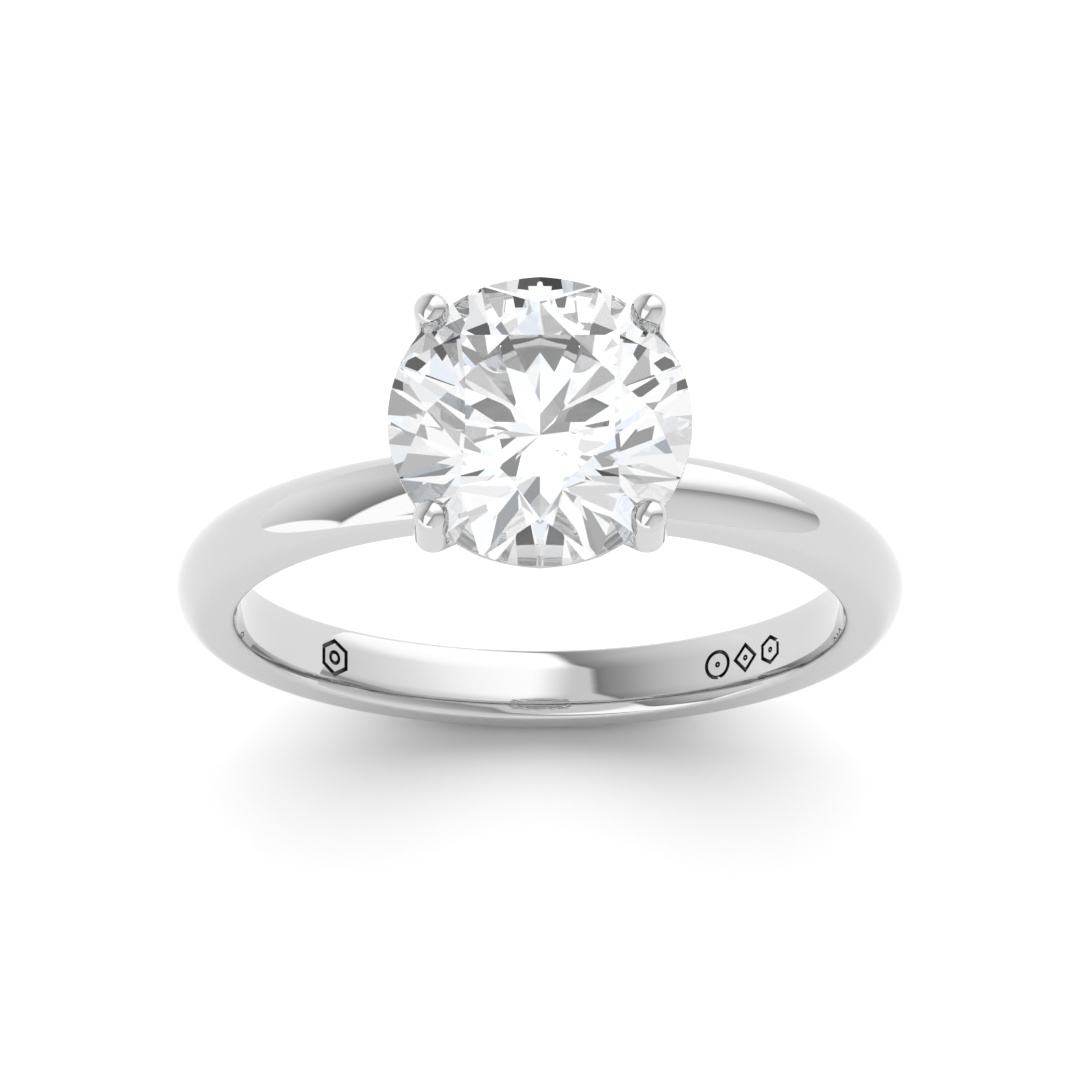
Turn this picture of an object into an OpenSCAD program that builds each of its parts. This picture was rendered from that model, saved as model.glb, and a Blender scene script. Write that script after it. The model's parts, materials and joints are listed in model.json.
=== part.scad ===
// A solitaire engagement ring: a plain platinum band, a pegged four-claw head
// and one round brilliant stone. Millimetres. The origin is the centre of the
// finger hole, +Z points to the stone and Y runs along the finger.

/* [Band] */
// Diameter of the finger hole
bore_d = 16.5; // [14:0.1:21]
// Width of the band along the finger
band_w = 2.0; // [1.6:0.05:3.5]
// Thickness of the band under the stone
band_top_t = 1.75; // [1.4:0.05:2.5]
// Thickness of the band opposite the stone
band_bottom_t = 1.6; // [1.3:0.05:2.4]
// Radius of the comfort rounding at the two rims of the hole
rim_r = 0.3; // [0.15:0.05:0.5]
// Rise of the domed outside above its two flat sides
dome_h = 0.6; // [0.3:0.05:0.7]

/* [Punch marks in the hole] */
// Angle from the lowest point of the band to the middle of each group
mark_angle = 43.5; // [25:0.5:70]
// Depth of a punch mark
mark_depth = 0.12; // [0.06:0.01:0.2]
// Size of one punch mark
mark_size = 0.66; // [0.4:0.02:0.8]

/* [Stone] */
// Girdle diameter of the stone
stone_d = 8.04; // [6.4:0.05:9.6]
// Gap between the stone's point and the peg's plate
culet_gap = 0.24; // [0.2:0.02:1.2]
// Thickness of the girdle where two facets meet it at their thinnest
girdle_t = 0.11; // [0.08:0.01:0.2]
// Width of the table as a part of the diameter
table_ratio = 0.53; // [0.5:0.005:0.62]
// Height of the crown as a part of the diameter
crown_ratio = 0.157; // [0.13:0.001:0.17]
// Depth of the pavilion as a part of the diameter
pavilion_ratio = 0.436; // [0.41:0.001:0.45]

/* [Claws] */
// Thickness of a claw above its bend
claw_d = 0.95; // [0.8:0.05:1.3]
// Taper in thickness from there to the leg below the bend
leg_taper = 0.05; // [0.02:0.01:0.2]
// Distance of the claw's middle line outside the girdle
claw_out = 0.03; // [0:0.01:0.2]
// Height of the centre of the rounded tip above the middle of the girdle
tip_rise = 0.74; // [0.5:0.02:0.9]
// Distance of the bend below the middle of the girdle
bend_drop = 0.96; // [0.8:0.02:1.4]
// Radius of the bend on the claw's middle line
bend_r = 0.9; // [0.5:0.05:1.5]

/* [Rails and peg] */
// Thickness of the wire of the gallery rail
rail_d = 0.8; // [0.6:0.05:1]
// Height of the gallery rail below the middle of the girdle
rail_drop = 1.96; // [1.7:0.02:2.4]
// Gap between the gallery rail and the stone's side
rail_gap = 0.03; // [0.02:0.01:0.1]
// Inside diameter of the base ring
base_bore_d = 2.2; // [1.8:0.05:3]
// Radial thickness of the base ring
base_t = 0.8; // [0.6:0.05:1.2]
// Height of the base ring
base_h = 0.8; // [0.6:0.05:1.1]
// Gap between the base ring and the top of the band
base_gap = 0.02; // [0.01:0.01:0.1]
// Diameter of the peg's stem
peg_d = 1.1; // [0.8:0.05:1.3]
// Depth of the stem's hole in the band
peg_depth = 1.0; // [0.6:0.05:1.1]
// Reach of the peg's saddle down the sides of the dome
saddle_drop = 0.35; // [0.2:0.05:0.5]

/* [Fits] */
// Solder gap between two metal pieces, on a side
solder_gap = 0.01; // [0.005:0.005:0.03]
// Gap between the stone and its seat
seat_gap = 0.01; // [0.005:0.005:0.03]

/* [Hidden] */
$fn = 64;

CLAWS = 4;
FACET_STEP = 360 / 16;
STAR_LENGTH = 0.45;
LOWER_HALF = 0.8;
ROUND = 64;
// Overshoot of a cut past the face that it opens.
OVER = 0.5;
// Length of the leg that runs up into the bend.
LEG_LAP = 0.05;

bore_r = bore_d / 2;
half_w = band_w / 2;
// The outside is a round whose centre sits above the hole's, so the band is thicker on top.
outside_r = bore_r + (band_top_t + band_bottom_t) / 2;
outside_z = (band_top_t - band_bottom_t) / 2;
band_top = bore_r + band_top_t;
dome_r = (pow(half_w, 2) + pow(dome_h, 2)) / (2 * dome_h);

stone_r = stone_d / 2;
table_r = stone_r * table_ratio;
crown_h = stone_d * crown_ratio;
pavilion_h = stone_d * pavilion_ratio;
// The facets run on past the round girdle, which trims them to scallops.
facet_r = stone_r / cos(FACET_STEP / 2);
crown_slope = crown_h / (stone_r - table_r);
pavilion_slope = pavilion_h / stone_r;
facet_over = facet_r - stone_r;
star_r = table_r + (stone_r - table_r) * STAR_LENGTH;
lower_r = stone_r * (1 - LOWER_HALF);
// Heights above the middle of the girdle.
crown_edge = girdle_t / 2;
table_z = crown_edge + crown_slope * (facet_r - table_r);
star_z = crown_edge + crown_slope * (facet_r - star_r * cos(FACET_STEP));
culet_z = -crown_edge - pavilion_slope * facet_r;
lower_z = culet_z + pavilion_slope * lower_r * cos(FACET_STEP);

base_r = base_bore_d / 2;
base_mid_r = base_r + base_t / 2;
base_bottom = sqrt(pow(outside_r, 2) - pow(base_r, 2)) + outside_z + base_gap;
base_mid_z = base_bottom + base_h / 2;
// The outside of the base ring's section is one round, wider than the ring is high.
base_round_r = base_h * 0.75;

// The plate ends halfway up the base ring, and the stone's point hangs above it.
peg_r = peg_d / 2;
plate_r = base_r - solder_gap;
plate_top = base_mid_z;
girdle_z = plate_top + culet_gap - culet_z;

claw_r = claw_d / 2;
leg_r = (claw_d - leg_taper) / 2;
claw_at = stone_r + claw_out;
tip_z = girdle_z + tip_rise;
bend_z = girdle_z - bend_drop;
// The lower leg of a claw leans from the bend to the middle of the base ring.
leg_run = claw_at - base_mid_r;
leg_drop = bend_z - base_mid_z;
leg_lean = atan(leg_run / leg_drop);
leg_length = norm([leg_run, leg_drop]);
bend_cut = bend_r * tan(leg_lean / 2);

rail_r = rail_d / 2;
rail_z = girdle_z - rail_drop;
// The rail runs close round the stone's side, from the girdle to the lower facets' ends,
// and each claw is notched as deep as that needs.
side_slope = (-crown_edge - lower_z) / (facet_r - lower_r);
side_at_rail = facet_r - (rail_drop - crown_edge) / side_slope;
rail_mid_r = side_at_rail + (rail_r + rail_gap) * norm([1, side_slope]) / side_slope;

// A point at an angle round the stone, at a radius and a height.
function around(angle, r, z) = [r * cos(angle), r * sin(angle), z];

// The outline of the band's outside, from the middle of the ring outwards.
module outside_outline(grow) {
    intersection() {
        translate([0, -half_w - grow])
            square([outside_r + grow, band_w + 2 * grow]);
        union() {
            translate([outside_r - dome_r, 0])
                circle(r = dome_r + grow);
            translate([0, -half_w - grow])
                square([outside_r - dome_h, band_w + 2 * grow]);
        }
    }
}

// A round solid about the finger's axis.
module about_finger(height = 0) {
    translate([0, 0, height])
        rotate([-90, 0, 0])
            rotate_extrude($fn = 180)
                children();
}

// The band's outside as a solid disc.
module outside_disc(grow = 0) {
    about_finger(outside_z)
        outside_outline(grow);
}

// The finger hole: a true cylinder that opens over a rounded rim at each end.
module finger_hole() {
    wall = half_w - rim_r;
    about_finger()
        difference() {
            translate([0, -half_w - OVER])
                square([bore_r + rim_r, band_w + 2 * OVER]);
            translate([bore_r, -wall])
                square([2 * rim_r, 2 * wall]);
            for (side = [-1, 1])
                translate([bore_r + rim_r, side * wall])
                    circle(r = rim_r);
        }
}

// Stands a punch mark's outline in the hole's wall, at an angle from the lowest point.
module punched(angle) {
    rotate([0, angle, 0])
        translate([0, 0, -bore_r - mark_depth])
            linear_extrude(height = mark_depth + OVER)
                children();
}

// The outline of a frame with a number of sides, cut with a line of a given width.
module punched_frame(sides, radius, line) {
    corner = line / 2 / cos(180 / sides);
    difference() {
        circle(r = radius + corner, $fn = sides);
        circle(r = radius - corner, $fn = sides);
    }
}

// A hexagonal frame round a small ring: the maker's punch.
module maker_mark() {
    punched_frame(6, mark_size * 0.73, mark_size * 0.18);
    punched_frame(ROUND, mark_size * 0.24, mark_size * 0.16);
}

// Three plain frames side by side, each round a dot: round, lozenge and hexagon.
module fineness_marks() {
    step = mark_size * 1.5;
    sides = [ROUND, 4, 6];
    for (k = [0:2])
        translate([(k - 1) * step, 0]) {
            punched_frame(sides[k], mark_size * 0.56, mark_size * 0.16);
            circle(r = mark_size * 0.13);
        }
}

module shank() {
    color("gainsboro")
        difference() {
            outside_disc();
            finger_hole();
            translate([0, 0, band_top - peg_depth])
                cylinder(r = peg_r + solder_gap, h = peg_depth + OVER);
            punched(mark_angle)
                maker_mark();
            punched(-mark_angle)
                fineness_marks();
        }
}

// The peg: a stem that stands in the band's hole under a plate that saddles the band.
module peg() {
    color("gainsboro")
        union() {
            difference() {
                translate([0, 0, band_top - saddle_drop])
                    cylinder(r = plate_r, h = plate_top - band_top + saddle_drop);
                outside_disc(solder_gap);
            }
            translate([0, 0, band_top - peg_depth + solder_gap])
                cylinder(r = peg_r, h = peg_depth + (plate_top - band_top) / 2);
        }
}

// The base ring: flat inside, with a rounded outside.
module base_shape(grow = 0) {
    outer_r = base_r + base_t + grow;
    height = base_h + 2 * grow;
    rotate_extrude($fn = 96)
        difference() {
            intersection() {
                translate([0, base_bottom - grow])
                    square([outer_r, height]);
                translate([outer_r - base_round_r, base_mid_z])
                    circle(r = base_round_r);
            }
            translate([0, base_bottom - OVER])
                square([base_r - grow, base_h + 2 * OVER]);
        }
}

module base_ring() {
    color("silver")
        base_shape();
}

module rail_shape(grow = 0) {
    rotate_extrude($fn = 96)
        translate([rail_mid_r, rail_z])
            circle(r = rail_r + grow);
}

module gallery_rail() {
    color("silver")
        rail_shape();
}

// The wire of a claw in the +X direction: rounded tip, upright, bend and leaning leg.
module claw_wire() {
    upright = tip_z - bend_z - bend_cut;
    translate([claw_at, 0, bend_z + bend_cut])
        rotate_extrude($fn = 64)
            intersection() {
                union() {
                    square([claw_r, upright]);
                    translate([0, upright])
                        circle(r = claw_r);
                }
                square([claw_r, upright + claw_r]);
            }
    translate([claw_at - bend_r, 0, bend_z + bend_cut])
        rotate([90, 0, 0])
            rotate_extrude(angle = -leg_lean, $fn = 96)
                translate([bend_r, 0])
                    circle(r = claw_r);
    translate([claw_at, 0, bend_z])
        rotate([0, leg_lean + 180, 0])
            translate([0, 0, bend_cut - LEG_LAP])
                cylinder(r = leg_r, h = leg_length - bend_cut + LEG_LAP);
}

// A claw with the stone's seat, the rail's notch and the base ring's saddle cut from it.
module claw(number) {
    color("whitesmoke")
        difference() {
            rotate([0, 0, 45 + (number - 1) * 360 / CLAWS])
                claw_wire();
            brilliant(seat_gap);
            rail_shape(solder_gap);
            base_shape(solder_gap);
        }
}

// A round brilliant: the facets as one closed body, trimmed to a round girdle.
module brilliant(grow = 0) {
    translate([0, 0, girdle_z])
        scale((stone_r + grow) / stone_r)
            intersection() {
                brilliant_facets();
                translate([0, 0, culet_z - OVER])
                    cylinder(r = stone_r, h = table_z - culet_z + 2 * OVER, $fn = 128);
            }
}

module brilliant_facets() {
    // Even steps are at the star facets, odd steps at the main facets.
    table = [for (k = [0:7]) around((2 * k + 1) * FACET_STEP, table_r, table_z)];
    stars = [for (k = [0:7]) around(2 * k * FACET_STEP, star_r, star_z)];
    upper = [for (k = [0:15]) around(k * FACET_STEP, facet_r, crown_edge)];
    lower = [for (k = [0:15]) around(k * FACET_STEP, facet_r, -crown_edge)];
    halves = [for (k = [0:7]) around(2 * k * FACET_STEP, lower_r, lower_z)];
    culet = [[0, 0, culet_z]];
    TABLE = 0;
    STARS = 8;
    UPPER = 16;
    LOWER = 32;
    HALVES = 48;
    CULET = 56;
    polyhedron(
        points = concat(table, stars, upper, lower, halves, culet),
        faces = concat(
            [[for (k = [7:-1:0]) TABLE + k]],
            [for (k = [0:7]) [TABLE + (k + 7) % 8, TABLE + k, STARS + k]],
            [for (k = [0:7]) [TABLE + k, STARS + (k + 1) % 8, UPPER + 2 * k + 1, STARS + k]],
            [for (k = [0:7]) [STARS + k, UPPER + 2 * k + 1, UPPER + 2 * k]],
            [for (k = [0:7]) [STARS + k, UPPER + 2 * k, UPPER + (2 * k + 15) % 16]],
            [for (k = [0:15]) [UPPER + k, UPPER + (k + 1) % 16, LOWER + (k + 1) % 16, LOWER + k]],
            [for (k = [0:7]) [HALVES + k, LOWER + 2 * k, LOWER + 2 * k + 1]],
            [for (k = [0:7]) [HALVES + k, LOWER + (2 * k + 15) % 16, LOWER + 2 * k]],
            [for (k = [0:7]) [HALVES + k, LOWER + 2 * k + 1, HALVES + (k + 1) % 8, CULET]]));
}

module centre_stone() {
    color("lightcyan", 0.6)
        brilliant();
}

shank();
peg();
base_ring();
gallery_rail();
claw(1);  // claw_1
claw(2);  // claw_2
claw(3);  // claw_3
claw(4);  // claw_4
centre_stone();
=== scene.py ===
import json
import math

import bpy
from mathutils import Matrix, Vector


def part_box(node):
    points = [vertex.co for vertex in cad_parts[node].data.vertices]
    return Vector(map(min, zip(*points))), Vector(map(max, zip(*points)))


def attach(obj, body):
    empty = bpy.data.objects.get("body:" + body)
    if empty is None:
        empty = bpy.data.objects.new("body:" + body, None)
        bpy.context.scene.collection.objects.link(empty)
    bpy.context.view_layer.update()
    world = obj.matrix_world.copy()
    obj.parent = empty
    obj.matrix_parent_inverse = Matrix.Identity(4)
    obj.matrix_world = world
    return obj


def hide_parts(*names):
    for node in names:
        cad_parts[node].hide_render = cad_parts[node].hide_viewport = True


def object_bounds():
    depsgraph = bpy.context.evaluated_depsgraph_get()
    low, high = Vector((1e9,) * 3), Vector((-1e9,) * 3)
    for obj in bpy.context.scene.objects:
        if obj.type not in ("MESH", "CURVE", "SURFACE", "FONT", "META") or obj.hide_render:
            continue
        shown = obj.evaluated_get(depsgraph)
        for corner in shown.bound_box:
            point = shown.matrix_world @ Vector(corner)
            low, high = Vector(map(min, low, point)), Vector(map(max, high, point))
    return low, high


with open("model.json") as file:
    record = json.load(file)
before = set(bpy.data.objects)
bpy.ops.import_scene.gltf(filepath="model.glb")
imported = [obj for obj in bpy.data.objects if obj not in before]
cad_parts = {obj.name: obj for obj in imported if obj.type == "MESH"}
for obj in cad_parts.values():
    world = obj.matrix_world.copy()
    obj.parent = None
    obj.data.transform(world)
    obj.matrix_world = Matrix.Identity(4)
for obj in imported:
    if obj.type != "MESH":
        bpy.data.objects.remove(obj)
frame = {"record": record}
CAD_BOX = [list(corner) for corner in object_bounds()]
MM = 0.001


# ---------------------------------------------------------------------------
# Camera and studio.
# The ring stands on its band on a small white table, under a pale tent with
# broad soft boxes. A long lens looks steeply down on the stone.
# ---------------------------------------------------------------------------
CAMERA_DISTANCE = 0.4
CAMERA_TILT = math.radians(71.68)
CAMERA_AIM = Vector((0, 0, 4.358 * MM))
VIEW_WIDTH = 29.158 * MM
SENSOR = 36.0

camera_data = bpy.data.cameras.new("camera")
camera_data.sensor_width = SENSOR
camera_data.lens = SENSOR * CAMERA_DISTANCE / VIEW_WIDTH
camera_data.clip_start = 0.02
camera_data.clip_end = 20
camera = bpy.data.objects.new("camera", camera_data)
bpy.context.scene.collection.objects.link(camera)
towards_camera = Vector((0, -math.cos(CAMERA_TILT), math.sin(CAMERA_TILT)))
camera.location = CAMERA_AIM + CAMERA_DISTANCE * towards_camera
camera.rotation_euler = (math.pi / 2 - CAMERA_TILT, 0, 0)
bpy.context.scene.camera = camera
bpy.context.scene.view_settings.view_transform = "Standard"

TABLE_R = 0.15
table_height = CAD_BOX[0][2]


def start_piece(name):
    """Names the primitive that was just added."""
    piece = bpy.context.object
    piece.name = name
    piece.data.name = name
    return piece


bpy.ops.object.select_all(action="DESELECT")
bpy.ops.mesh.primitive_circle_add(vertices=128, radius=TABLE_R, fill_type="NGON",
                                  location=(0, 0, table_height))
table = start_piece("table")

CARD_WHITE = (0.9, 0.9, 0.9, 1)
paper = bpy.data.materials.new("table_paper")
paper.use_nodes = True
paper_shader = paper.node_tree.nodes["Principled BSDF"]
paper_shader.inputs["Base Color"].default_value = CARD_WHITE
paper_shader.inputs["Roughness"].default_value = 0.9
paper_shader.inputs["Specular IOR Level"].default_value = 0.0
table.data.materials.append(paper)

tent = bpy.data.worlds.new("tent")
tent.use_nodes = True
bpy.context.scene.world = tent
# Each kind of ray sees its own light, which only a ray that reaches the tent can tell.
tent.cycles.sampling_method = "NONE"
tent_nodes = tent.node_tree.nodes
tent_links = tent.node_tree.links
tent_nodes.clear()
ray_direction = tent_nodes.new("ShaderNodeTexCoord").outputs["Generated"]


def tent_math(operation, first, second):
    """Adds one sum on brightnesses or masks."""
    node = tent_nodes.new("ShaderNodeMath")
    node.operation = operation
    for socket, value in zip(node.inputs, (first, second)):
        if isinstance(value, float):
            socket.default_value = value
        else:
            tent_links.new(value, socket)
    return node.outputs["Value"]


def facing(azimuth, height):
    """How far a ray lies to the side that faces an azimuth and a height, in degrees."""
    node = tent_nodes.new("ShaderNodeVectorMath")
    node.operation = "DOT_PRODUCT"
    flat = math.cos(math.radians(height))
    node.inputs[1].default_value = (
        flat * math.cos(math.radians(azimuth)),
        flat * math.sin(math.radians(azimuth)),
        math.sin(math.radians(height)))
    tent_links.new(ray_direction, node.inputs[0])
    return node.outputs["Value"]


def soft_edge(distance, outside, inside):
    """A mask that rises from 0 to 1 between two distances."""
    edge = tent_nodes.new("ShaderNodeMapRange")
    edge.interpolation_type = "SMOOTHSTEP"
    edge.inputs["From Min"].default_value = outside
    edge.inputs["From Max"].default_value = inside
    tent_links.new(distance, edge.inputs["Value"])
    return edge.outputs["Result"]


def sheet(edges):
    """A mask for a sheet with straight edges, each the side it faces and its softness."""
    mask = 1.0
    for azimuth, height, softness in edges:
        inside = soft_edge(facing(azimuth, height), -softness, softness)
        mask = tent_math("MULTIPLY", inside, mask)
    return mask


def card(azimuth, height, half_width):
    """A mask for a round card."""
    outside = math.cos(math.radians(half_width * 1.05))
    inside = math.cos(math.radians(half_width * 0.95))
    return soft_edge(facing(azimuth, height), outside, inside)


def falloff(distance, stops):
    """Brightness that changes with the distance from an edge."""
    ramp = tent_nodes.new("ShaderNodeFloatCurve")
    curve = ramp.mapping.curves[0]
    while len(curve.points) < len(stops):
        curve.points.new(0.5, 0.5)
    for point, stop in zip(curve.points, stops):
        point.location = stop
    ramp.mapping.update()
    tent_links.new(distance, ramp.inputs["Value"])
    return ramp.outputs["Value"]


def hang(behind, mask, brightness):
    """Hangs a sheet or a card in front of what the tent has so far."""
    node = tent_nodes.new("ShaderNodeMix")
    node.data_type = "FLOAT"
    tent_links.new(mask, node.inputs["Factor"])
    for socket, value in ((node.inputs["A"], behind), (node.inputs["B"], brightness)):
        if isinstance(value, float):
            socket.default_value = value
        else:
            tent_links.new(value, socket)
    return node.outputs["Result"]


# What the metal mirrors: grey walls that darken towards the white boxes between them.
# Each sheet is a list of edges: the azimuth and height it faces, and its softness.
WALL_LIGHT = 0.95
BOX_LIGHT = 1.65
LEFT_WALL = [(140, -27, 0.03), (168, -17, 0.03)]
RIGHT_WALL = [(284, -9, 0.03), (330, -17, 0.03)]
BACK_BOX = [(104, 9, 0.04), (348, 17, 0.06), (40, -8, 0.12)]
FRONT_BOX = [(320, 27, 0.025), (150, 17, 0.04), (245, -23, 0.06)]
LOW_LEFT_CARD = (212, -15, 23)
LOW_FRONT_BOX = [(258, -83, 0.03), (328, 0, 0.03), (186, 0, 0.03)]

left_depth = tent_math("MINIMUM", facing(*LEFT_WALL[0][:2]), facing(*LEFT_WALL[1][:2]))
left_light = falloff(left_depth, [(0, 0.14), (0.05, 0.36), (0.15, 0.48), (0.35, 0.76), (0.6, 1)])
right_depth = tent_math("MINIMUM", facing(*RIGHT_WALL[0][:2]), facing(*RIGHT_WALL[1][:2]))
right_light = falloff(right_depth, [(0, 0.4), (0.08, 0.5), (0.2, 0.7), (0.35, 0.92), (0.5, 1)])
back_light = falloff(facing(*BACK_BOX[0][:2]), [(0, 0.5), (0.2, 0.75), (0.4, 1), (1, 1)])
tent_light = hang(WALL_LIGHT, sheet(LEFT_WALL), left_light)
tent_light = hang(tent_light, sheet(RIGHT_WALL), right_light)
tent_light = hang(tent_light, sheet(BACK_BOX), tent_math("MULTIPLY", back_light, BOX_LIGHT))
tent_light = hang(tent_light, sheet(FRONT_BOX), BOX_LIGHT)
tent_light = hang(tent_light, card(*LOW_LEFT_CARD), BOX_LIGHT)
tent_light = hang(tent_light, sheet(LOW_FRONT_BOX), BOX_LIGHT)

# What the stone refracts: a patchwork of white and pale blue with a few dark cards,
# each an azimuth, a height, a half width in degrees and a brightness.
DARK_CARDS = (
    (90, 88, 4, 0.03), (15, 87, 3.5, 0.03), (90, 15, 5, 0.03), (245, 60, 5, 0.35),
    (225, 72, 4, 0.3), (285, 68, 4, 0.4), (180, 72, 4, 0.25), (60, 78, 5, 0.3),
    (25, 71, 3, 0.15), (310, 84, 3, 0.03),
)
PATCH_SCALE = 7
PATCH_LIGHT = 1.15
PATCH_FALLOFF = [(0, 0.34), (0.15, 0.5), (0.3, 0.8), (0.6, 0.92), (1, 1)]
WHITE = (1, 1, 1, 1)
PALE_BLUE = (0.82, 0.9, 1, 1)
patches = tent_nodes.new("ShaderNodeTexVoronoi")
patches.inputs["Scale"].default_value = PATCH_SCALE
tent_links.new(ray_direction, patches.inputs["Vector"])
dealt = tent_nodes.new("ShaderNodeSeparateColor")
tent_links.new(patches.outputs["Color"], dealt.inputs["Color"])
patch_light = falloff(dealt.outputs["Red"], PATCH_FALLOFF)
stone_light = tent_math("MULTIPLY", patch_light, PATCH_LIGHT)
for azimuth, height, half_width, brightness in DARK_CARDS:
    stone_light = hang(stone_light, card(azimuth, height, half_width), brightness)
tint = tent_nodes.new("ShaderNodeMixRGB")
tint.inputs["Color1"].default_value = WHITE
tint.inputs["Color2"].default_value = PALE_BLUE
tint_share = falloff(dealt.outputs["Green"], [(0, 0), (0.65, 0.05), (0.9, 0.7), (1, 0.9)])
tent_links.new(tint_share, tint.inputs["Fac"])

# The table is lit softly from behind and above, and behind it there is plain white card.
TENT_LEVEL = 1.02
TABLE_LAMP = (90, 55)
TABLE_LIGHT = 3.1
LAMP_FALLOFF = [(0, 0.05), (0.3, 0.1), (0.6, 0.35), (0.8, 0.7), (1, 1)]
BACKDROP_LIGHT = 1.05
way = tent_nodes.new("ShaderNodeLightPath")
tent_light = tent_math("MULTIPLY", tent_light, TENT_LEVEL)
table_light = falloff(facing(*TABLE_LAMP), LAMP_FALLOFF)
table_light = tent_math("MULTIPLY", table_light, TABLE_LIGHT)
tent_light = hang(tent_light, way.outputs["Is Diffuse Ray"], table_light)
tent_light = hang(tent_light, way.outputs["Is Camera Ray"], BACKDROP_LIGHT)
tent_background = tent_nodes.new("ShaderNodeBackground")
tent_background.inputs["Color"].default_value = WHITE
tent_links.new(tent_light, tent_background.inputs["Strength"])
stone_background = tent_nodes.new("ShaderNodeBackground")
tent_links.new(tint.outputs["Color"], stone_background.inputs["Color"])
tent_links.new(stone_light, stone_background.inputs["Strength"])
either = tent_nodes.new("ShaderNodeMixShader")
tent_links.new(way.outputs["Is Transmission Ray"], either.inputs["Fac"])
tent_links.new(tent_background.outputs["Background"], either.inputs[1])
tent_links.new(stone_background.outputs["Background"], either.inputs[2])
tent_output = tent_nodes.new("ShaderNodeOutputWorld")
tent_links.new(either.outputs["Shader"], tent_output.inputs["Surface"])


# ---------------------------------------------------------------------------
# Platinum.
# 950 platinum, polished to a mirror on felt and rouge. The wheel leaves faint
# hairlines that only show where a highlight breaks.
# ---------------------------------------------------------------------------
PLATINUM_COLOUR = (0.57, 0.57, 0.57, 1)
HAIRLINE_SCALE = 900
HAIRLINE_STRETCH = (1, 14, 1)
HAIRLINE_DEPTH = 0.002 * MM


def polish_group():
    """Hairlines of a hand-polished metal, as a height and a roughness."""
    group = bpy.data.node_groups.new("polish", "ShaderNodeTree")
    face = group.interface
    face.new_socket(name="Hairline Scale", in_out="INPUT", socket_type="NodeSocketFloat")
    face.new_socket(name="Smoothest", in_out="INPUT", socket_type="NodeSocketFloat")
    face.new_socket(name="Roughest", in_out="INPUT", socket_type="NodeSocketFloat")
    face.new_socket(name="Roughness", in_out="OUTPUT", socket_type="NodeSocketFloat")
    face.new_socket(name="Height", in_out="OUTPUT", socket_type="NodeSocketFloat")
    made = group.nodes
    wired = group.links
    given = made.new("NodeGroupInput")
    taken = made.new("NodeGroupOutput")
    place = made.new("ShaderNodeTexCoord")
    hairlines = made.new("ShaderNodeTexNoise")
    hairlines.inputs["Detail"].default_value = 4
    stretch = made.new("ShaderNodeMapping")
    stretch.inputs["Scale"].default_value = HAIRLINE_STRETCH
    wired.new(place.outputs["Object"], stretch.inputs["Vector"])
    wired.new(stretch.outputs["Vector"], hairlines.inputs["Vector"])
    wired.new(given.outputs["Hairline Scale"], hairlines.inputs["Scale"])
    rough = made.new("ShaderNodeMapRange")
    rough.inputs["From Min"].default_value = 0.35
    rough.inputs["From Max"].default_value = 0.7
    wired.new(hairlines.outputs["Fac"], rough.inputs["Value"])
    wired.new(given.outputs["Smoothest"], rough.inputs["To Min"])
    wired.new(given.outputs["Roughest"], rough.inputs["To Max"])
    wired.new(rough.outputs["Result"], taken.inputs["Roughness"])
    wired.new(hairlines.outputs["Fac"], taken.inputs["Height"])
    return group


POLISH = polish_group()


def platinum(name, smoothest, roughest, relief):
    """A platinum surface between two roughnesses, with hairlines of a given relief."""
    metal = bpy.data.materials.new(name)
    metal.use_nodes = True
    made = metal.node_tree.nodes
    wired = metal.node_tree.links
    shader = made["Principled BSDF"]
    shader.inputs["Base Color"].default_value = PLATINUM_COLOUR
    shader.inputs["Metallic"].default_value = 1
    polish = made.new("ShaderNodeGroup")
    polish.node_tree = POLISH
    polish.inputs["Hairline Scale"].default_value = HAIRLINE_SCALE
    polish.inputs["Smoothest"].default_value = smoothest
    polish.inputs["Roughest"].default_value = roughest
    wired.new(polish.outputs["Roughness"], shader.inputs["Roughness"])
    bump = made.new("ShaderNodeBump")
    bump.inputs["Strength"].default_value = relief
    bump.inputs["Distance"].default_value = HAIRLINE_DEPTH
    wired.new(polish.outputs["Height"], bump.inputs["Height"])
    wired.new(bump.outputs["Normal"], shader.inputs["Normal"])
    return metal


MIRROR_PLATINUM = platinum("mirror_platinum", 0.02, 0.05, 0.1)


# ---------------------------------------------------------------------------
# Shank.
# A band drawn and rolled to a D section, turned up into a round and soldered
# under the head, with a comfort curve inside and punches darkened with oxide.
# ---------------------------------------------------------------------------
finger_hole = frame["record"]["mounts"][0]["dims"]
bore_r = finger_hole["r_mm"] * MM
shank_low, shank_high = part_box("shank")
outside_r = (shank_high[0] - shank_low[0]) / 2
outside_lift = shank_low[2] + outside_r
half_width = (shank_high[1] - shank_low[1]) / 2
DOME_RISE = 0.6 * MM
WALL_T = 0.5 * MM
WELD = 1e-7
dome_r = (half_width ** 2 + DOME_RISE ** 2) / (2 * DOME_RISE)
BAND_STEPS = 720


def arc(centre, radius, start, end, steps):
    """Points (distance from the axis, place along it) on an arc, in degrees."""
    points = []
    for step in range(steps + 1):
        angle = math.radians(start + (end - start) * step / steps)
        points.append((centre[0] + radius * math.cos(angle), centre[1] + radius * math.sin(angle)))
    return points


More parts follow.
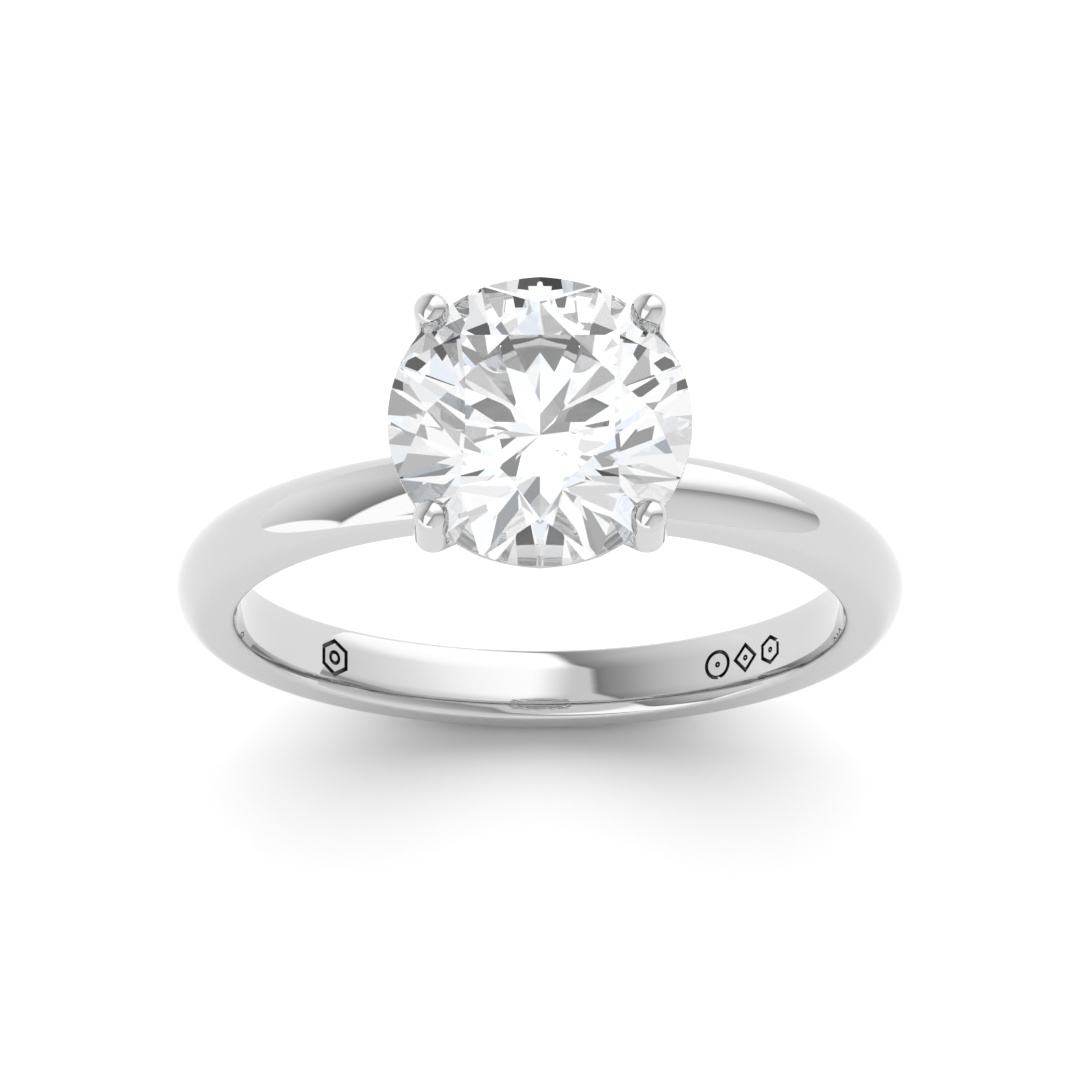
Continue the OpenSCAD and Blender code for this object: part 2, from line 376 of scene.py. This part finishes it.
def spin_outline(name, outline, axis, steps):
    """Turns a closed outline, a ring of vertices, round an axis into a closed ring."""
    bpy.ops.object.select_all(action="DESELECT")
    bpy.ops.mesh.primitive_circle_add(vertices=len(outline), radius=bore_r)
    piece = start_piece(name)
    along = Vector(axis)
    for vertex, (radius, place) in zip(piece.data.vertices, outline):
        vertex.co = Vector((radius, 0, 0)) + along * place
    bpy.ops.object.mode_set(mode="EDIT")
    bpy.ops.mesh.select_all(action="SELECT")
    bpy.ops.mesh.spin(steps=steps, angle=2 * math.pi, center=(0, 0, 0), axis=axis)
    bpy.ops.mesh.select_all(action="SELECT")
    bpy.ops.mesh.remove_doubles(threshold=WELD)
    bpy.ops.mesh.normals_make_consistent(inside=False)
    bpy.ops.object.mode_set(mode="OBJECT")
    return piece


SHARP_ANGLE = math.radians(35)


def finish_piece(piece, node, material):
    """Shades a piece smooth up to an edge angle, hangs it on the root body and hides its CAD node.
    """
    bpy.ops.object.select_all(action="DESELECT")
    piece.select_set(True)
    bpy.context.view_layer.objects.active = piece
    bpy.ops.object.shade_smooth_by_angle(angle=SHARP_ANGLE)
    if material not in list(piece.data.materials):
        piece.data.materials.clear()
        piece.data.materials.append(material)
    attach(piece, "root")
    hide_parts(node)


def cut(piece, cutter):
    """Cuts one closed piece with another, as a saw or a graver does."""
    modifier = piece.modifiers.new("cut", "BOOLEAN")
    modifier.operation = "DIFFERENCE"
    modifier.solver = "MANIFOLD"
    modifier.object = cutter
    bpy.ops.object.select_all(action="DESELECT")
    piece.select_set(True)
    bpy.context.view_layer.objects.active = piece
    bpy.ops.object.modifier_apply(modifier=modifier.name)
    bpy.data.objects.remove(cutter, do_unlink=True)


# The hole's wall eases into a shallow comfort curve and a small rim on each side, and
# the dome runs into the flat sides over a soft corner.
FLAT_HALF = 0.35 * MM
COMFORT_R = 2.0 * MM
EDGE_R = 0.17 * MM
CORNER_R = 0.5 * MM
edge_at = half_width - EDGE_R
edge_turn = math.degrees(math.asin((edge_at - FLAT_HALF) / (COMFORT_R - EDGE_R)))
edge_mid = bore_r + COMFORT_R - (COMFORT_R - EDGE_R) * math.cos(math.radians(edge_turn))
corner_at = half_width - CORNER_R
corner_turn = math.degrees(math.asin(corner_at / (dome_r - CORNER_R)))
corner_mid = outside_r - dome_r + math.sqrt((dome_r - CORNER_R) ** 2 - corner_at ** 2)
band_outline = (
    arc((edge_mid, -edge_at), EDGE_R, 180 + edge_turn, 270, 12)
    + arc((corner_mid, -corner_at), CORNER_R, -90, -corner_turn, 8)
    + arc((outside_r - dome_r, 0), dome_r, -corner_turn, corner_turn, 40)[1:-1]
    + arc((corner_mid, corner_at), CORNER_R, corner_turn, 90, 8)
    + arc((edge_mid, edge_at), EDGE_R, 90, 180 - edge_turn, 12)
    + arc((bore_r + COMFORT_R, FLAT_HALF), COMFORT_R, 180 - edge_turn, 180, 12)[1:]
    + arc((bore_r + COMFORT_R, -FLAT_HALF), COMFORT_R, 180, 180 + edge_turn, 12)[:-1]
)
shank = spin_outline("shank_band", band_outline, (0, 1, 0), BAND_STEPS)
# The outside is turned round a centre a little above the hole's.
for vertex in shank.data.vertices:
    if math.hypot(vertex.co.x, vertex.co.z) > bore_r + WALL_T:
        vertex.co.z += outside_lift

MARK_ANGLE = 43.5
MARK_DEPTH = 0.12 * MM
MARK_SIZE = 0.66 * MM
MARK_PITCH = 1.5 * MARK_SIZE
ROUND = 48
OXIDE_COLOUR = (0.1, 0.1, 0.1, 1)


def punch(sides, radius, line, angle, along):
    """Punches an outline with a number of sides into the hole's wall."""
    bpy.ops.object.select_all(action="DESELECT")
    bpy.ops.mesh.primitive_circle_add(vertices=sides, radius=radius, location=(along, 0, 0))
    die = start_piece("die")
    bpy.ops.object.transform_apply(location=True)
    bpy.ops.object.mode_set(mode="EDIT")
    bpy.ops.mesh.select_all(action="SELECT")
    bpy.ops.mesh.extrude_region_move(TRANSFORM_OT_translate={"value": (0, 0, 4 * MARK_DEPTH)})
    bpy.ops.object.mode_set(mode="OBJECT")
    wall = die.modifiers.new("line", "SOLIDIFY")
    wall.thickness = line
    wall.offset = 0
    wall.use_even_offset = True
    bpy.ops.object.modifier_apply(modifier=wall.name)
    into_wall = Matrix.Translation((0, 0, -bore_r - MARK_DEPTH))
    die.data.transform(Matrix.Rotation(math.radians(angle), 4, "Y") @ into_wall)
    cut(shank, die)


punch(6, 0.73 * MARK_SIZE, 0.18 * MARK_SIZE, MARK_ANGLE, 0)
punch(ROUND, 0.24 * MARK_SIZE, 0.16 * MARK_SIZE, MARK_ANGLE, 0)
for sides, along in ((ROUND, -MARK_PITCH), (4, 0), (6, MARK_PITCH)):
    punch(sides, 0.56 * MARK_SIZE, 0.16 * MARK_SIZE, -MARK_ANGLE, along)
    punch(ROUND, 0.08 * MARK_SIZE, 0.1 * MARK_SIZE, -MARK_ANGLE, along)

oxide = platinum("oxide_in_punches", 0.35, 0.6, 0.5)
oxide.node_tree.nodes["Principled BSDF"].inputs["Base Color"].default_value = OXIDE_COLOUR
shank.data.materials.clear()
shank.data.materials.append(MIRROR_PLATINUM)
shank.data.materials.append(oxide)
# The oxide lies on the floors and walls of the punches, just below the hole's wall.
MARK_LIP = 0.01 * MM
MARK_FLOOR = 1.5 * MARK_DEPTH
for face in shank.data.polygons:
    past_flat = max(0, abs(face.center.y) - FLAT_HALF)
    wall_depth = COMFORT_R - math.sqrt(COMFORT_R ** 2 - past_flat ** 2)
    depth = math.hypot(face.center.x, face.center.z) - bore_r - wall_depth
    inside_wall = abs(face.center.y) < edge_at
    face.material_index = int(inside_wall and MARK_LIP < depth < MARK_FLOOR)
finish_piece(shank, "shank", MIRROR_PLATINUM)


# ---------------------------------------------------------------------------
# Centre stone.
# A round brilliant. The rough is bruted to a round, then 57 facets are ground
# on both sides of the girdle and polished; the girdle keeps a fine frost.
# ---------------------------------------------------------------------------
GIRDLE_T = 0.11 * MM
TABLE_SHARE = 0.53
CROWN_SHARE = 0.157
PAVILION_SHARE = 0.436
STAR_LENGTH = 0.45
LOWER_HALF = 0.8
FACET_STEP = math.radians(22.5)
stone_low, stone_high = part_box("centre_stone")
stone_r = (stone_high[0] - stone_low[0]) / 2
crown_slope = 2 * CROWN_SHARE / (1 - TABLE_SHARE)
pavilion_slope = 2 * PAVILION_SHARE
facet_r = stone_r / math.cos(FACET_STEP / 2)
table_r = stone_r * TABLE_SHARE
star_r = table_r + (stone_r - table_r) * STAR_LENGTH
lower_r = stone_r * (1 - LOWER_HALF)
crown_edge = stone_high[2] - crown_slope * (facet_r - table_r)
pavilion_edge = crown_edge - GIRDLE_T
girdle_height = crown_edge - GIRDLE_T / 2
star_height = crown_edge + crown_slope * (facet_r - star_r * math.cos(FACET_STEP))
culet_height = pavilion_edge - pavilion_slope * facet_r
lower_height = culet_height + pavilion_slope * lower_r * math.cos(FACET_STEP)


GIRDLE_STEPS = 384
PLANE_SNAP = 1e-9


def around(step, radius, height):
    """A point on the stone, a number of facet steps round from +X."""
    angle = step * FACET_STEP
    return Vector((radius * math.cos(angle), radius * math.sin(angle), height))


def grind(stone, points):
    """Grinds one facet: all outside the plane through three points is taken off."""
    normal = (points[1] - points[0]).cross(points[2] - points[0]).normalized()
    if normal.dot(points[0] - Vector((0, 0, girdle_height))) < 0:
        normal = -normal
    bpy.ops.mesh.select_all(action="SELECT")
    bpy.ops.mesh.bisect(plane_co=points[0], plane_no=normal, use_fill=True, clear_outer=True,
                        threshold=PLANE_SNAP)


def brilliant(name, grow):
    """A round brilliant, grown about the middle of its girdle by a gap."""
    bpy.ops.object.select_all(action="DESELECT")
    bpy.ops.mesh.primitive_cylinder_add(
        vertices=GIRDLE_STEPS, radius=stone_r, depth=stone_high[2] - stone_low[2] + 1 * MM,
        location=(0, 0, (stone_high[2] + stone_low[2]) / 2))
    stone = start_piece(name)
    bpy.ops.object.transform_apply(location=True)
    bpy.ops.object.mode_set(mode="EDIT")
    for k in range(8):
        main = 2 * k + 1
        grind(stone, [around(main, facet_r, crown_edge),
                      around(main - 1, star_r, star_height),
                      around(main + 1, star_r, star_height)])
        grind(stone, [around(main, facet_r, pavilion_edge),
                      around(main - 1, lower_r, lower_height),
                      around(main + 1, lower_r, lower_height)])
    for k in range(8):
        star = around(2 * k, star_r, star_height)
        half = around(2 * k, lower_r, lower_height)
        for side in (-1, 1):
            grind(stone, [star, around(2 * k, facet_r, crown_edge),
                          around(2 * k + side, facet_r, crown_edge)])
            grind(stone, [half, around(2 * k, facet_r, pavilion_edge),
                          around(2 * k + side, facet_r, pavilion_edge)])
        grind(stone, [star, around(2 * k - 1, table_r, stone_high[2]),
                      around(2 * k + 1, table_r, stone_high[2])])
    grind(stone, [around(step, table_r, stone_high[2]) for step in (1, 3, 9)])
    bpy.ops.mesh.select_all(action="SELECT")
    bpy.ops.mesh.normals_make_consistent(inside=False)
    bpy.ops.object.mode_set(mode="OBJECT")
    middle = Matrix.Translation((0, 0, girdle_height))
    stone.data.transform(middle @ Matrix.Scale(1 + grow / stone_r, 4) @ middle.inverted())
    return stone


STONE_IOR = 1.985
FROST_COLOUR = (0.96, 0.97, 0.98, 1)
FROST_SCALE = 40000
FROST_DEPTH = 0.001 * MM
LEVEL = 0.02
diamond = bpy.data.materials.new("diamond")
diamond.use_nodes = True
diamond_shader = diamond.node_tree.nodes["Principled BSDF"]
diamond_shader.inputs["Base Color"].default_value = WHITE
diamond_shader.inputs["Transmission Weight"].default_value = 1
diamond_shader.inputs["IOR"].default_value = STONE_IOR
diamond_shader.inputs["Roughness"].default_value = 0

bruted = bpy.data.materials.new("bruted_girdle")
bruted.use_nodes = True
bruted_nodes = bruted.node_tree.nodes
bruted_links = bruted.node_tree.links
bruted_shader = bruted_nodes["Principled BSDF"]
bruted_shader.inputs["Base Color"].default_value = FROST_COLOUR
bruted_shader.inputs["Transmission Weight"].default_value = 0.5
bruted_shader.inputs["IOR"].default_value = STONE_IOR
frost = bruted_nodes.new("ShaderNodeTexNoise")
frost.inputs["Scale"].default_value = FROST_SCALE
frost.inputs["Detail"].default_value = 3
frost_place = bruted_nodes.new("ShaderNodeTexCoord")
bruted_links.new(frost_place.outputs["Object"], frost.inputs["Vector"])
frost_range = bruted_nodes.new("ShaderNodeMapRange")
frost_range.inputs["To Min"].default_value = 0.45
frost_range.inputs["To Max"].default_value = 0.75
bruted_links.new(frost.outputs["Fac"], frost_range.inputs["Value"])
bruted_links.new(frost_range.outputs["Result"], bruted_shader.inputs["Roughness"])
frost_bump = bruted_nodes.new("ShaderNodeBump")
frost_bump.inputs["Strength"].default_value = 0.3
frost_bump.inputs["Distance"].default_value = FROST_DEPTH
bruted_links.new(frost.outputs["Fac"], frost_bump.inputs["Height"])
bruted_links.new(frost_bump.outputs["Normal"], bruted_shader.inputs["Normal"])

stone = brilliant("round_brilliant", 0)
stone.data.materials.append(diamond)
stone.data.materials.append(bruted)
# Only the girdle's faces stand upright.
for face in stone.data.polygons:
    face.material_index = int(abs(face.normal.z) < LEVEL)
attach(stone, "root")
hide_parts("centre_stone")


# ---------------------------------------------------------------------------
# Gallery rail.
# A round wire bent to a ring and soldered into notches in the four claws. It
# ties them together under the stone's girdle.
# ---------------------------------------------------------------------------
rail_low, rail_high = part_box("gallery_rail")
rail_r = (rail_high[2] - rail_low[2]) / 2
rail_mid_r = rail_high[0] - rail_r
rail_height = (rail_high[2] + rail_low[2]) / 2


def rail_ring(name, grow):
    """The rail's wire, or the saw that cuts its notches with a gap all round."""
    section = arc((rail_mid_r, rail_height), rail_r + grow, 0, 345, 23)
    return spin_outline(name, section, (0, 0, 1), 192)


rail = rail_ring("gallery_wire", 0)
finish_piece(rail, "gallery_rail", MIRROR_PLATINUM)


# ---------------------------------------------------------------------------
# Base ring.
# A small turned ring with a rounded outside, soldered over the peg's plate.
# The four claws stand on it.
# ---------------------------------------------------------------------------
BASE_T = 0.8 * MM
ROUND_SHARE = 0.75
base_low, base_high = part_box("base_ring")


def foot_ring(name, grow):
    """The base ring, or the file that cuts the claws' saddles with a gap all round."""
    outer = base_high[0] + grow
    inner = base_high[0] - BASE_T - grow
    half = (base_high[2] - base_low[2]) / 2 + grow
    middle = (base_high[2] + base_low[2]) / 2
    round_r = (base_high[2] - base_low[2]) * ROUND_SHARE
    reach = math.degrees(math.asin(half / round_r))
    outline = arc((outer - round_r, middle), round_r, -reach, reach, 24)
    outline += [(inner, middle + half), (inner, middle - half)]
    return spin_outline(name, outline, (0, 0, 1), 160)


foot = foot_ring("foot_ring", 0)
finish_piece(foot, "base_ring", MIRROR_PLATINUM)


# ---------------------------------------------------------------------------
# Claws.
# Four drawn wires, each bent in under the stone, sawn to a seat at the girdle
# and rounded over the crown with a cupped burr.
# ---------------------------------------------------------------------------
CLAW_R = 0.475 * MM
LEG_R = 0.45 * MM
BEND_R = 0.9 * MM
BEND_DROP = 0.96 * MM
SEAT_GAP = 0.01 * MM
SOLDER_GAP = 0.01 * MM
WIRE_SIDES = 64
LEG_STEPS = 8
TURN_STEPS = 16
claw_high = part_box("claw_1")[1]
claw_at = (claw_high[0] - CLAW_R) / math.cos(math.pi / 4)
tip_height = claw_high[2] - CLAW_R
bend_height = girdle_height - BEND_DROP
foot_mid_r = base_high[0] - BASE_T / 2
foot_mid_height = (base_low[2] + base_high[2]) / 2
lean = math.atan((claw_at - foot_mid_r) / (bend_height - foot_mid_height))
bend_cut = BEND_R * math.tan(lean / 2)


def claw_line():
    """The claw's middle line, foot to tip, as (place, lean, thickness) rings."""
    rings = []
    down = Vector((-math.sin(lean), 0, -math.cos(lean)))
    corner = Vector((claw_at, 0, bend_height))
    leg = math.hypot(claw_at - foot_mid_r, bend_height - foot_mid_height)
    for step in range(LEG_STEPS + 1):
        below = leg + (bend_cut - leg) * step / LEG_STEPS
        rings.append((corner + down * below, lean, LEG_R))
    centre = Vector((claw_at - BEND_R, 0, bend_height + bend_cut))
    for step in range(1, TURN_STEPS + 1):
        turn = lean * (1 - step / TURN_STEPS)
        place = centre + Vector((math.cos(turn), 0, -math.sin(turn))) * BEND_R
        rings.append((place, turn, LEG_R + (CLAW_R - LEG_R) * step / TURN_STEPS))
    rings.append((Vector((claw_at, 0, tip_height)), 0, CLAW_R))
    for step in range(1, TURN_STEPS):
        rise = math.pi / 2 * step / TURN_STEPS
        place = Vector((claw_at, 0, tip_height + CLAW_R * math.sin(rise)))
        rings.append((place, 0, CLAW_R * math.cos(rise)))
    return rings


def claw_wire(name):
    """Draws a round wire along the claw's middle line."""
    rings = claw_line()
    bpy.ops.object.select_all(action="DESELECT")
    bpy.ops.mesh.primitive_circle_add(vertices=WIRE_SIDES, radius=1, fill_type="NGON")
    wire = start_piece(name)
    bpy.ops.object.mode_set(mode="EDIT")
    bpy.ops.mesh.select_all(action="SELECT")
    for _ in rings[1:]:
        bpy.ops.mesh.extrude_region_move(TRANSFORM_OT_translate={"value": (0, 0, 1)})
    bpy.ops.object.mode_set(mode="OBJECT")
    for vertex in wire.data.vertices:
        place, turn, thickness = rings[round(vertex.co.z)]
        flat = Vector((vertex.co.x, vertex.co.y, 0)) * thickness
        vertex.co = place + Matrix.Rotation(turn, 3, "Y") @ flat
    bpy.ops.object.mode_set(mode="EDIT")
    bpy.ops.mesh.select_all(action="SELECT")
    bpy.ops.mesh.normals_make_consistent(inside=False)
    bpy.ops.object.mode_set(mode="OBJECT")
    return wire


for number in range(1, 5):
    claw = claw_wire("claw_wire_%d" % number)
    claw.data.transform(Matrix.Rotation(math.radians(45 + 90 * (number - 1)), 4, "Z"))
    cut(claw, brilliant("seat_burr", SEAT_GAP))
    cut(claw, rail_ring("notch_saw", SOLDER_GAP))
    cut(claw, foot_ring("saddle_file", SOLDER_GAP))
    finish_piece(claw, "claw_%d" % number, MIRROR_PLATINUM)


# ---------------------------------------------------------------------------
# Peg.
# A turned plate with a stem. The stem stands in the band's drilled hole and
# the plate saddles the dome; both are soldered.
# ---------------------------------------------------------------------------
peg = bpy.data.objects["peg"]
peg.data.materials.clear()
peg.data.materials.append(MIRROR_PLATINUM)
